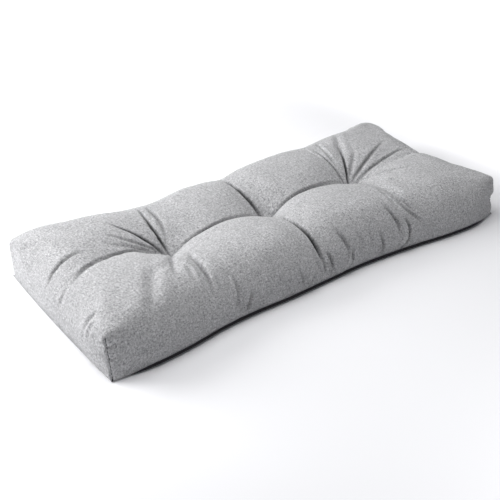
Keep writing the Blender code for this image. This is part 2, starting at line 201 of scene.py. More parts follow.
# Places where the cloth swells out or sinks in: where, how far that reaches, and how far out
Swell = namedtuple("Swell", "x y z reach out")
SWELLS = [
    Swell(-0.575, -0.165, 0.018, 0.045, 0.0045),
    Swell(0.572, -0.236, 0.078, 0.018, 0.0020),
    Swell(0.572, -0.240, 0.045, 0.016, -0.0030),
]

# ---------------------------------------------------------------- the finer surface
CELLS = (120, 48, 11)       # cells along, across and up the box of the cover, before they are divided
NEAR_FOLD = 1.7             # cells this many fold widths from a fold are divided once more
KNIFE_FOLD, NEAR_KNIFE = 0.0041, 1.2          # and those nearer still to a narrow fold a last time
FILL_LUMP, FILL_LUMP_SIZE = 0.0016, 0.085     # unevenness of the filling
SLACK_LUMP, SLACK_LUMP_SIZE = 0.0004, 0.022   # and of the cloth over it
SEAM_GROOVE, SEAM_GROOVE_WIDTH = 0.0022, 0.0030
SEAM_RIDGE, SEAM_RIDGE_AT, SEAM_RIDGE_WIDTH = 0.0010, 0.0075, 0.0040
NEAR_SEAM = 3 * SEAM_GROOVE_WIDTH             # cells this near a corner seam are divided as near a fold
DART_TOP = 0.95             # how far up its wall a dart runs
ON_SIDE = 1e-6              # a face's middle this near a side of the box is on it
# the second name is the folds' painted shade, which darkens the cloth's colour
CLOTH_DIRECTIONS, PAINTED_SHADE_ATTRIBUTE = "laid_flat", "painted_fold_shade"      # what the cover's mesh carries for its materials


def smooth(x):
    """0 up to x = 0, 1 from x = 1, and a soft step between."""
    x = np.clip(x, 0.0, 1.0)
    return x * x * (3.0 - 2.0 * x)


def through(x, knots, values):
    """A smooth curve through the knots, read at x."""
    knots, values = np.asarray(knots), np.asarray(values)
    slopes = np.gradient(values, knots)
    i = np.clip(np.searchsorted(knots, x) - 1, 0, len(knots) - 2)
    span = knots[i + 1] - knots[i]
    t = np.clip((x - knots[i]) / span, 0.0, 1.0)
    start = values[i] * (1.0 + 2.0 * t) * (1.0 - t) ** 2 + slopes[i] * span * t * (1.0 - t) ** 2
    end = values[i + 1] * t * t * (3.0 - 2.0 * t) - slopes[i + 1] * span * t * t * (1.0 - t)
    return start + end


def section(x, column):
    """One column of the cross-sections, read at x."""
    return through(x, [s.x for s in SECTIONS], [getattr(s, column) for s in SECTIONS])


def tuft_distance(x, y):
    """How far each point is from the nearest tuft, in plan."""
    return np.min([np.hypot(x - tuft * TUFT_SPACING, y) for tuft in TUFTS], axis=0)


def top_height(x, v):
    """Height of the cloth at x and at v, from -1 at the front wall to 1 at the back wall."""
    pulled = TUFT_DEPTH * np.exp(-tuft_distance(x, v * WIDTH / 2) / TUFT_SPREAD)
    v = v - section(x, "bend") * (1.0 - abs(v))
    edge = np.where(v < 0, section(x, "front_edge"), section(x, "back_edge"))
    lobe = np.where(v < 0, section(x, "front_lobe"), section(x, "back_lobe"))
    middle = section(x, "middle")
    roll = section(x, "roll") * np.where(v < 0, FRONT_ROLL, BACK_ROLL)
    rise = (1.0 - (1.0 - np.clip(abs(v) / LOBE_AT, 0.0, 1.0)) ** 2) ** roll
    fall = np.clip((abs(v) - LOBE_AT) / (1.0 - LOBE_AT), 0.0, 1.0) ** 2
    height = middle + (lobe - middle) * rise + (edge - lobe) * fall
    return height - pulled


def base_shape(u, v, h):
    """Places the points of the box (u and v from -1 to 1, h from 0 to 1) on the cushion, before its folds."""
    x, y = u * LENGTH / 2, v * WIDTH / 2
    top = top_height(x, v)
    from_corner = np.maximum(LENGTH / 2 - abs(x), WIDTH / 2 - abs(y))
    at_end = smooth((abs(x) - LENGTH / 2 + END_FOOT) / END_FOOT)
    rising = smooth(from_corner / SEAM_RISES_OVER) * (1.0 - at_end)
    seam = SEAM_CORNER + (SEAM_HEIGHT - SEAM_CORNER) * rising
    z = seam + h * (top - seam)

    # the top edges and the upright corners, as balls rolled along the inside of the box; the lift carries
    # the slope of the top on round its edges
    radius = CORNER_RADIUS + (EDGE_RADIUS - CORNER_RADIUS) * smooth(from_corner / EDGE_SOFTENS_OVER)
    core = np.stack([np.clip(x, -LENGTH / 2 + radius, LENGTH / 2 - radius),
                     np.clip(y, -WIDTH / 2 + radius, WIDTH / 2 - radius),
                     np.minimum(z, top - radius)])
    out = np.stack([x, y, z]) - core
    reach = np.maximum(np.linalg.norm(out, axis=0), np.finfo(float).eps)
    under = h <= 0.0
    x, y, z = np.where(under, np.stack([x, y, z]), core + out * np.minimum(radius / reach, 1.0))
    lift = np.where(under, 0.0, top_height(x, y / (WIDTH / 2)) - top)

    # the underside, from the seam in to the floor
    inside = np.minimum(LENGTH / 2 - abs(x), WIDTH / 2 - abs(y))
    dimple = UNDER_TUFT_DEPTH * np.clip(1.0 - tuft_distance(x, y) / UNDER_TUFT_RADIUS, 0.0, 1.0) ** 2
    flat = np.clip(inside / CURL_WIDTH, 0.0, 1.0)
    turn = np.pi * np.clip(inside / FOOT, 0.0, 1.0)
    z = np.where(under, seam * (1.0 + np.cos(turn)) / 2 + dimple, z)
    foot_out = FOOT_OUT * seam / SEAM_HEIGHT * np.sin(turn) * under

    # the walls: their plan, and the swell between the seam and the top edge
    up = np.clip(z / top, 0.0, 1.0)
    swell = np.sin(np.pi * up) * SIDE_BULGE
    on_long_wall = smooth((abs(v) - LONG_WALL_FROM) / (1.0 - LONG_WALL_FROM))
    on_end_wall = smooth((abs(u) - END_WALL_FROM) / (1.0 - END_WALL_FROM))
    long_side = swell * on_long_wall * smooth((LENGTH / 2 - abs(x)) / BULGE_GROWS_OVER)
    end_side = swell * on_end_wall * smooth((WIDTH / 2 - abs(y)) / BULGE_GROWS_OVER)
    front, back = section(x, "front"), section(x, "back")
    share = y / WIDTH + 0.5
    lean = section(x, "lean") * up * (1.0 - share) ** 2
    plan_y = front + (back - front) * share + lean + np.sign(v) * long_side * (z > 0)
    plan_y = np.where(under, plan_y + (y - plan_y) * smooth(flat), plan_y)
    plan_x = x + u * END_BOW * (1.0 - v * v) * (1.0 - flat * under) + np.sign(u) * end_side
    near_end = LENGTH / 2 - abs(x) < WIDTH / 2 - abs(y)
    plan_x = plan_x + np.sign(u) * foot_out * near_end
    plan_y = plan_y + np.sign(v) * foot_out * ~near_end
    return np.stack([plan_x, plan_y, z + lift], axis=1)


def laid_flat(u, v, h, end_wall, long_wall):
    """Where each point lies on the cover once its sides are folded out into the plane of the top."""
    drop = (1.0 - h) * (section(u * LENGTH / 2, "front_edge") - SEAM_HEIGHT)
    flat_x = u * LENGTH / 2 + np.where(end_wall, np.sign(u) * drop, 0.0)
    flat_y = v * WIDTH / 2 + np.where(long_wall, np.sign(v) * drop, 0.0)
    return flat_x, flat_y


def from_fold(fold, flat_x, flat_y):
    """Each point's distance from a fold's line, the side it is on (1 is left), and its share of the way."""
    start, end = np.array([fold.x0, fold.y0]), np.array([fold.x1, fold.y1])
    run = end - start
    left = np.array([-run[1], run[0]]) / np.hypot(*run)
    t = np.linspace(0.0, 1.0, FOLD_STEPS + 1)[:, None]
    line = start + run * t + left * fold.bow * 4.0 * t * (1.0 - t)
    away = np.full_like(flat_x, np.inf)
    side, along = np.zeros_like(flat_x), np.zeros_like(flat_x)
    for step, (a, b) in enumerate(zip(line, line[1:])):
        leg = b - a
        dx, dy = flat_x - a[0], flat_y - a[1]
        share = np.clip((dx * leg[0] + dy * leg[1]) / (leg @ leg), 0.0, 1.0)
        gap = np.hypot(dx - share * leg[0], dy - share * leg[1])
        nearer = gap < away
        away = np.where(nearer, gap, away)
        side = np.where(nearer, np.sign(leg[0] * dy - leg[1] * dx), side)
        along = np.where(nearer, (step + share) / FOLD_STEPS, along)
    return away, side, along


def fold_depth(folds, flat_x, flat_y):
    """How far the folds press the cloth in at each point, how near the nearest is, in fold widths, and how
    much shade is painted into its colour there, for the little light that gets to it."""
    depth, dark = np.zeros_like(flat_x), np.zeros_like(flat_x)
    nearest = np.full_like(flat_x, np.inf)
    for fold in folds:
        margin = abs(fold.bow) + FOLD_REACH * fold.width
        near = ((flat_x > min(fold.x0, fold.x1) - margin) & (flat_x < max(fold.x0, fold.x1) + margin)
                & (flat_y > min(fold.y0, fold.y1) - margin) & (flat_y < max(fold.y0, fold.y1) + margin))
        away, side, along = from_fold(fold, flat_x[near], flat_y[near])
        across = away / (fold.width * (1.0 - LAP_SHARE * fold.lap * side))
        shoulder = SHOULDER * min(1.0, fold.width / abs(fold.depth))
        trough = np.exp(-across ** SHARPNESS) - shoulder * np.exp(-(across - SHOULDER_AT) ** 2)
        growing = smooth(along / fold.peak)
        fading = 1.0 - smooth((along - fold.peak) / (1.0 - fold.peak))
        full = (growing * fading) ** FOLD_FULLNESS
        depth[near] += fold.depth * trough * full
        nearest[near] = np.minimum(nearest[near], across)
        # painted shade: the colour is darkened along the fold, for the light that hardly gets into it
        shade = fold.dark * np.exp(-(across / PAINTED_SHADE_REACH) ** PAINTED_SHADE_EDGE) * full
        dark[near] = np.maximum(dark[near], shade)
    return depth, nearest, dark


def puckers():
    """Short folds up from the bottom seam, all round."""
    chance = np.random.default_rng(PUCKER_SEED)
    drop = SECTIONS[0].front_edge - SEAM_HEIGHT
    made = []
    for along_x, side, half in ((True, -1, LENGTH / 2), (True, 1, LENGTH / 2),
                                (False, -1, WIDTH / 2), (False, 1, WIDTH / 2)):
        at = -half + chance.uniform(*PUCKER_SPACING)
        foot = side * ((WIDTH if along_x else LENGTH) / 2 + drop)
        while at < half - PUCKER_SPACING[0]:
            head = foot - side * chance.uniform(*PUCKER_LENGTH)
            lean = at + chance.uniform(*PUCKER_SLANT)
            depth = chance.uniform(*PUCKER_DEPTH)
            ends = (at, foot, lean, head) if along_x else (foot, at, head, lean)
            made.append(Fold(*ends, bow=0.0, peak=PUCKER_PEAK, width=PUCKER_WIDTH, depth=depth, lap=0.0))
            at += chance.uniform(*PUCKER_SPACING)
    return made


# ---------------------------------------------------------------- the cloth under the filling's pressure
SIM_CELL = 0.006            # size of the simulated cloth's faces
SIM_FRAMES, SIM_PRESSURE = 20, 4.0
SIM_START = 0.004           # the cloth starts this far inside the cushion
SIM_HELD_BELOW, SIM_HELD_AT_TUFT = 0.012, 0.014     # held under this height, and this near a tuft
SIM_EVENING = 60            # rounds of evening out that find the broad part of the movement
SIM_CAP = 0.0022            # the pulls that are left go no further than this
SIM_NEAREST = 4             # points of it that each point of the cover takes its pull from


def blown_up(body):
    """Runs the cloth of a closed body under pressure. Returns its points, their normals and how far out
    each moves, with the broad part of that movement taken off."""
    remesh = body.modifiers.new("remesh", "REMESH")
    remesh.mode = "VOXEL"
    remesh.voxel_size = SIM_CELL
    mesh = bpy.data.meshes.new_from_object(body.evaluated_get(bpy.context.evaluated_depsgraph_get()))
    body.modifiers.clear()
    body.data = mesh
    count = len(mesh.vertices)
    rest, normals, moved = np.empty(count * 3), np.empty(count * 3), np.empty(count * 3)
    mesh.vertices.foreach_get("co", rest)
    mesh.vertices.foreach_get("normal", normals)
    rest, normals = rest.reshape(-1, 3), normals.reshape(-1, 3)

    held = (rest[:, 2] < SIM_HELD_BELOW) | (tuft_distance(rest[:, 0], rest[:, 1]) < SIM_HELD_AT_TUFT)
    body.vertex_groups.new(name="held").add(np.nonzero(held)[0].tolist(), 1.0, "REPLACE")
    cloth = body.modifiers.new("cloth", "CLOTH")
    cloth.settings.vertex_group_mass = "held"
    cloth.settings.use_pressure = True
    cloth.settings.uniform_pressure_force = SIM_PRESSURE
    cloth.settings.effector_weights.gravity = 0.0
    cloth.collision_settings.use_collision = False
    cloth.point_cache.frame_start, cloth.point_cache.frame_end = 1, SIM_FRAMES
    scene = bpy.context.scene
    for step in range(1, SIM_FRAMES + 1):
        scene.frame_set(step)
    body.evaluated_get(bpy.context.evaluated_depsgraph_get()).data.vertices.foreach_get("co", moved)
    scene.frame_set(1)
    out = ((moved.reshape(-1, 3) - rest) * normals).sum(axis=1)

    ends = np.empty(len(mesh.edges) * 2, dtype=np.int32)
    mesh.edges.foreach_get("vertices", ends)
    one, two = ends.reshape(-1, 2).T
    shares = np.bincount(one, minlength=count) + np.bincount(two, minlength=count)
    broad = out.copy()
    for turn in range(SIM_EVENING):
        near = np.bincount(one, broad[two], count) + np.bincount(two, broad[one], count)
        broad = (broad + near / shares) / 2
    return rest, normals, SIM_CAP * np.tanh((out - broad) / SIM_CAP)


def pulls(points):
    """The small pulls and puckers of the cloth over its filling, as a height at each point."""
    mesh, places, start, normals = shaped(box_grid(CELLS), "filling")
    start -= normals * (SIM_START * (places[:, 2] > 0.0))[:, None]
    mesh.vertices.foreach_set("co", start.ravel())
    mesh.update()
    body = bpy.data.objects.new("filling", mesh)
    bpy.context.scene.collection.objects.link(body)
    rest, outward, height = blown_up(body)
    bpy.data.objects.remove(body)

    tree = kdtree.KDTree(len(rest))
    for index, point in enumerate((rest + outward * SIM_START).tolist()):
        tree.insert(point, index)
    tree.balance()
    found = np.zeros(len(points))
    for index, point in enumerate(points.tolist()):
        near = tree.find_n(point, SIM_NEAREST)
        weights = np.array([1.0 / (away + SIM_CELL / 4) ** 2 for _, _, away in near])
        found[index] = weights @ height[[which for _, which, _ in near]] / weights.sum()
    return found


# ---------------------------------------------------------------- the cover
def box_grid(cells):
    """The skin of a box of cells, in (u, v, h), as a bmesh."""
    made = bmesh.new()
    corners = {}
    low, span = np.array([-1.0, -1.0, 0.0]), np.array([2.0, 2.0, 1.0])
    for axis in range(3):
        across, up = (axis + 1) % 3, (axis + 2) % 3
        for side in (0, cells[axis]):
            for a in range(cells[across]):
                for b in range(cells[up]):
                    ring = []
                    for da, db in ((0, 0), (1, 0), (1, 1), (0, 1)):
                        corner = [0, 0, 0]
                        corner[axis], corner[across], corner[up] = side, a + da, b + db
                        corner = tuple(corner)
                        if corner not in corners:
                            corners[corner] = made.verts.new(low + span * np.array(corner) / np.array(cells))
                        ring.append(corners[corner])
                    made.faces.new(ring if side else ring[::-1])
    return made


def face_middles(grid):
    """The middle of each face of a bmesh."""
    return np.array([face.calc_center_median()[:] for face in grid.faces])


def divide(grid, chosen):
    """Divides in four each face of the grid that is chosen."""
    grid.verts.index_update()
    grid.edges.index_update()
    edges = {edge for face, wanted in zip(grid.faces, chosen) if wanted for edge in face.edges}
    bmesh.ops.subdivide_edges(grid, edges=sorted(edges, key=lambda edge: edge.index), cuts=1,
                              use_grid_fill=True)


def inside_rim(u, v):
    """How far in from the rim of the bottom panel a place is, whatever its height."""
    return np.minimum(LENGTH / 2 * (1.0 - abs(u)), WIDTH / 2 * (1.0 - abs(v)))


def beside_seam(u, v):
    """How far a place on a wall is from the nearest corner seam."""
    return LENGTH / 2 * (1.0 - abs(u)) + WIDTH / 2 * (1.0 - abs(v))


def unfolded(places):
    """laid_flat for places that are on one side of the box each."""
    u, v, h = places.T
    end_wall, long_wall = abs(u) >= 1.0, abs(v) >= 1.0
    return laid_flat(u, v, h, end_wall, long_wall & ~end_wall)


def lumps(points, size):
    """Unevenness over the points, from -1 to 1."""
    return np.array([noise.noise(Vector(p) / size) for p in points.tolist()])


def seam_relief(u, v, h):
    """The groove and the two ridges of the seam up each corner, as a height over the cloth."""
    beside = beside_seam(u, v)
    groove = -SEAM_GROOVE * np.exp(-(beside / SEAM_GROOVE_WIDTH) ** 2)
    ridge = SEAM_RIDGE * np.exp(-((beside - SEAM_RIDGE_AT) / SEAM_RIDGE_WIDTH) ** 2)
    return (groove + ridge) * (1.0 - smooth((h - DART_TOP) / (1.0 - DART_TOP)))


def cover_grid(folds):
    """The cover's box of cells, finer near its folds, its corner seams and the rim of its bottom panel."""
    grid = box_grid(CELLS)
    u, v, h = face_middles(grid).T
    divide(grid, (h > 0.0) | (inside_rim(u, v) < FOOT))

    middles = face_middles(grid)
    u, v, h = middles.T
    near_fold = fold_depth(folds, *unfolded(middles))[1] < NEAR_FOLD
    above_rim = (near_fold | (beside_seam(u, v) < NEAR_SEAM)) & (h > 0.0)
    divide(grid, above_rim | ((inside_rim(u, v) < FOOT) & (h == 0.0)))

    knives = [fold for fold in FOLDS if fold.width < KNIFE_FOLD]
    divide(grid, fold_depth(knives, *unfolded(face_middles(grid)))[1] < NEAR_KNIFE)
    return grid


def shaped(grid, name):
    """The grid as a mesh placed on the cushion, with its grid places, its points and their normals."""
    mesh = bpy.data.meshes.new(name)
    grid.to_mesh(mesh)
    grid.free()
    places = np.empty(len(mesh.vertices) * 3)
    mesh.vertices.foreach_get("co", places)
    places = places.reshape(-1, 3)
    points = base_shape(*places.T)
    mesh.vertices.foreach_set("co", points.ravel())
    mesh.update()
    return mesh, places, points, np.array([vertex.normal[:] for vertex in mesh.vertices])


def lay_out(mesh, places):
    """Gives the mesh the cloth's own directions, each side unfolded beside the top and the bottom panel off
    by itself, and the bottom panel the second material."""
    corner_of = np.empty(len(mesh.loops), dtype=np.int32)
    mesh.loops.foreach_get("vertex_index", corner_of)
    sizes = np.empty(len(mesh.polygons), dtype=np.int32)
    mesh.polygons.foreach_get("loop_total", sizes)
    starts = np.concatenate([[0], np.cumsum(sizes)[:-1]])
    middles = np.add.reduceat(places[corner_of], starts, axis=0) / sizes[:, None]
    on_bottom = middles[:, 2] < ON_SIDE
    on_end, on_long = (abs(middles[:, :2]) > 1.0 - ON_SIDE).T
    face_of = np.repeat(np.arange(len(sizes)), sizes)
    flat_x, flat_y = laid_flat(*places[corner_of].T, on_end[face_of], on_long[face_of])
    flat_y += WIDTH * 2 * on_bottom[face_of]
    uv = mesh.uv_layers.new(name=CLOTH_DIRECTIONS)
    uv.uv.foreach_set("vector", np.stack([flat_x, flat_y], axis=1).ravel())
    mesh.polygons.foreach_set("material_index", on_bottom.astype(np.int32))


def cover(material, bottom_material):
    """The sewn cover, filled. Returns it with its grid places and its points."""
    folds = FOLDS + puckers()
    mesh, places, points, normals = shaped(cover_grid(folds), "cover")
    u, v, h = places.T
    above = h > 0.0

    # a point on an upright corner seam is on two walls: it gets the mean of their folds
    end_wall, long_wall = abs(u) >= 1.0, abs(v) >= 1.0
    as_end, _, dark = fold_depth(folds, *laid_flat(u, v, h, end_wall, long_wall & ~end_wall))
    as_long = fold_depth(folds, *laid_flat(u, v, h, end_wall & ~long_wall, long_wall))[0]
    # the folds' painted shade goes onto the mesh for the cloth's colour
    mesh.attributes.new(PAINTED_SHADE_ATTRIBUTE, "FLOAT", "POINT").data.foreach_set("value", dark * above)
    height = lumps(points, FILL_LUMP_SIZE) * FILL_LUMP + lumps(points, SLACK_LUMP_SIZE) * SLACK_LUMP
    height += seam_relief(u, v, h) - (as_end + as_long) / 2
    height += pulls(points)
    points[:, :2] -= MIDDLE
    for swell in SWELLS:
        away = np.linalg.norm(points - np.array([swell.x, swell.y, swell.z]), axis=1)
        height += swell.out * np.exp(-(away / swell.reach) ** 2)
    points += normals * (height * above)[:, None]
    mesh.vertices.foreach_set("co", points.ravel())

    mesh.materials.append(material)
    mesh.materials.append(bottom_material)
    lay_out(mesh, places)
    mesh.shade_smooth()
    mesh.update()
    made = bpy.data.objects.new("cover", mesh)
    bpy.context.scene.collection.objects.link(made)
    return made, places, points


# ---------------------------------------------------------------- threads and the bottom seam
THREAD_SIDES = 8
UPRIGHT = 0.8               # a strand that rises more steeply takes its sides from X instead of from Z
STITCH, STITCH_GAP, STITCH_RADIUS = 0.0065, 0.0020, 0.00065
STITCH_TAPER = np.array([0.5, 1.0, 1.15, 1.0, 0.5])                 # its radius along it, in shares
TACK_RADII = np.array([0.0010, 0.0016, 0.0016, 0.0008])             # the stitch at the foot of a dart
KNOT_RADIUS, KNOT_END = 0.0016, 0.2                                 # the knot over it, and its ends' share
KNOT_HEIGHTS = np.array([-1.0, -0.7, 0.0, 0.7, 1.0])                # the knot's points, in radii
SEAM_TUBE_RADIUS, SEAM_STEP = 0.0010, 0.004
TUFT_THREAD, TUFT_THREAD_RADIUS = 0.011, 0.0008
TUFT_THREAD_TURNS, TUFT_THREAD_LIFT = (0.5, 2.2), 1.5               # radians, and radii over the cloth
TUFT_THREAD_SPOTS = (-1.0, -0.6, 0.0, 0.6, 1.0)                     # points along it, in half lengths
TUFT_THREAD_TAPER = np.array([0.6, 1.0, 1.0, 1.0, 0.6])


def tubes(name, strands, material, closed=False):
    """Round tubes along strands, each a row of points and the radius at each, as one piece."""
    corners, faces = [], []
    for points, radii in strands:
        points = np.array(points)
        if closed:
            ahead = np.roll(points, -1, axis=0) - np.roll(points, 1, axis=0)
        else:
            ahead = np.gradient(points, axis=0)
        first, count = len(corners), len(points)
        for point, direction, radius in zip(points, ahead, radii):
            direction = direction / np.linalg.norm(direction)
            beside = np.cross(direction, (0.0, 0.0, 1.0) if abs(direction[2]) < UPRIGHT else (1.0, 0.0, 0.0))
            beside = beside / np.linalg.norm(beside)
            other = np.cross(beside, direction)
            for k in range(THREAD_SIDES):
                turn = 2 * math.pi * k / THREAD_SIDES
                corners.append(point + (beside * math.cos(turn) + other * math.sin(turn)) * radius)
        for n in range(count if closed else count - 1):
            here, there = first + n * THREAD_SIDES, first + (n + 1) % count * THREAD_SIDES
            for k in range(THREAD_SIDES):
                after = (k + 1) % THREAD_SIDES
                faces.append((here + k, there + k, there + after, here + after))
        if not closed:
            faces.append(tuple(first + k for k in range(THREAD_SIDES)))
            last = first + (count - 1) * THREAD_SIDES
            faces.append(tuple(last + k for k in reversed(range(THREAD_SIDES))))
    mesh = bpy.data.meshes.new(name)
    mesh.from_pydata([tuple(corner) for corner in corners], [], faces)
    mesh.shade_smooth()
    mesh.materials.append(material)
    made = bpy.data.objects.new(name, mesh)
    bpy.context.scene.collection.objects.link(made)
    return made


def lengths_along(line):
    """How far along a line of points each of them is."""
    return np.concatenate([[0.0], np.cumsum(np.linalg.norm(np.diff(line, axis=0), axis=1))])


def along(line, reach):
    """Points at the given distances along a line of points."""
    lengths = lengths_along(line)
    return np.stack([np.interp(reach, lengths, line[:, axis]) for axis in range(3)], axis=1)


def knot(at):
    """A short fat strand that reads as a knot."""
    points = [at + np.array([0.0, 0.0, KNOT_RADIUS * height]) for height in KNOT_HEIGHTS]
    return points, KNOT_RADIUS * np.maximum(np.sqrt(1.0 - KNOT_HEIGHTS ** 2), KNOT_END)


def corner_stitches(places, points, material):
    """A run of stitches up each corner dart, with a knot at its top and a tack at its foot."""
    strands = []
    for u in (-1.0, 1.0):
        for v in (-1.0, 1.0):
            on_seam = np.nonzero((places[:, 0] == u) & (places[:, 1] == v) & (places[:, 2] <= DART_TOP))[0]
            line = points[on_seam[np.argsort(places[on_seam, 2])]]
            outward = np.array([u, v, 0.0]) / math.sqrt(2.0)
            line = line + outward * STITCH_RADIUS
            length = lengths_along(line)[-1]
            at = STITCH
            while at + STITCH < length:
                spots = at + STITCH * np.linspace(0.0, 1.0, len(STITCH_TAPER))
                strands.append((along(line, spots), STITCH_RADIUS * STITCH_TAPER))
                at += STITCH + STITCH_GAP
            strands.append(knot(line[-1]))
            strands.append((along(line, np.linspace(0.0, STITCH, len(TACK_RADII))), TACK_RADII))
    return tubes("corner_stitches", strands, material)


def base_seam(places, points, material):
    """The turned edge where the bottom panel is sewn on, all round."""
    rim = np.nonzero((places[:, 2] == 0.0) & ((abs(places[:, 0]) == 1.0) | (abs(places[:, 1]) == 1.0)))[0]
    rim = rim[np.argsort(np.arctan2(places[rim, 1], places[rim, 0]))]
    ring = np.concatenate([points[rim], points[rim[:1]]])
    line = along(ring, np.arange(0.0, lengths_along(ring)[-1], SEAM_STEP))
    return tubes("base_seam", [(line, np.full(len(line), SEAM_TUBE_RADIUS))], material, closed=True)


def tuft_threads(places, points, material):
    """Crossed threads at the bottom of each tuft and under it."""
    strands = []
    up = np.array([0.0, 0.0, 1.0])
    for tuft in TUFTS:
        for height, lift in ((1.0, TUFT_THREAD_RADIUS), (0.0, -TUFT_THREAD_RADIUS)):
            face = np.nonzero(places[:, 2] == height)[0]
            plan = places[face, :2] * (LENGTH / 2, WIDTH / 2)
            pit = points[face[np.argmin(np.hypot(plan[:, 0] - tuft * TUFT_SPACING, plan[:, 1]))]]
            for turn in TUFT_THREAD_TURNS:
                way = np.array([math.cos(turn), math.sin(turn), 0.0])
                spots = [pit + way * TUFT_THREAD * share / 2 + up * lift * (TUFT_THREAD_LIFT - share ** 2)
                         for share in TUFT_THREAD_SPOTS]
                strands.append((spots, TUFT_THREAD_RADIUS * TUFT_THREAD_TAPER))
    return tubes("tuft_threads", strands, material)


# ---------------------------------------------------------------- materials
YARN = 0.00115              # from one yarn to the next
FLECK = 4.2                 # length of a fleck along its yarn, in yarns
FLECKS_FROM = 31.0          # the most that one yarn's flecks start beside another's, in yarns
WARP_DRAW, WEFT_DRAW = 7.0, 53.0              # they set the two ways' flecks apart
# the mottle, with how high it stands beside a yarn, and the wider patches
MOTTLE_SIZE, MOTTLE_DETAIL, MOTTLE_RISE = 0.0042, 4.0, 1.2
PATCH_SIZE, PATCH_DETAIL = 0.0450, 2.0
# how much of the shade the yarns, the mottle and the patches give, and what is taken off their sum
YARN_SHARE, MOTTLE_SHARE, PATCH_SHARE, SHADE_OFF = 0.50, 0.75, 0.10, 0.175
# painted shade in the weave: the colour is darkened between the yarns and lifted on top of each
BETWEEN_YARNS, ON_YARN = 0.84, 0.25           # the shade between the yarns, and what is added on top of one
DARK_YARN = (0.080, 0.080, 0.088)
LIGHT_YARN = (0.860, 0.860, 0.872)
# painted shade: the colour that the cloth is darkened to deep in its folds
PAINTED_FOLD_SHADE_COLOUR = (0.012, 0.012, 0.013)          # the cloth where hardly any light gets to it
BOTTOM_YARN, BOTTOM_GAP, BOTTOM_UNEVEN = (0.020, 0.020, 0.023), (0.009, 0.009, 0.011), 0.15
DARK_THREAD, GREY_THREAD = (0.035, 0.035, 0.038), (0.22, 0.22, 0.23)
THREAD_TWIST, THREAD_UNEVEN, THREAD_CONTRAST = 900.0, 1.5, 0.3
CLOTH_BUMP, BOTTOM_BUMP, THREAD_BUMP = (0.60, 0.0006), (0.4, 0.0004), (0.5, 0.0003)   # strength, metres


def shader_of(material):
    """The shader of a new material."""
    material.use_nodes = True
    return material.node_tree.nodes["Principled BSDF"]


def bumped(tree, shader, height, strength, distance):
    """Gives a shader relief from a height; distance is how deep a height of 1 stands."""
    bump = tree.nodes.new("ShaderNodeBump")
    bump.inputs["Strength"].default_value = strength
    bump.inputs["Distance"].default_value = distance
    tree.links.new(height, bump.inputs["Height"])
    tree.links.new(bump.outputs[0], shader.inputs["Normal"])


def graded(tree, value, low, high):
    """The colour between low and high that a value from 0 to 1 stands for."""
    ramp = tree.nodes.new("ShaderNodeValToRGB")
    for element, colour in zip(ramp.color_ramp.elements, (low, high)):
        element.color = (*colour, 1.0)
    tree.links.new(value, ramp.inputs[0])
    return ramp.outputs[0]


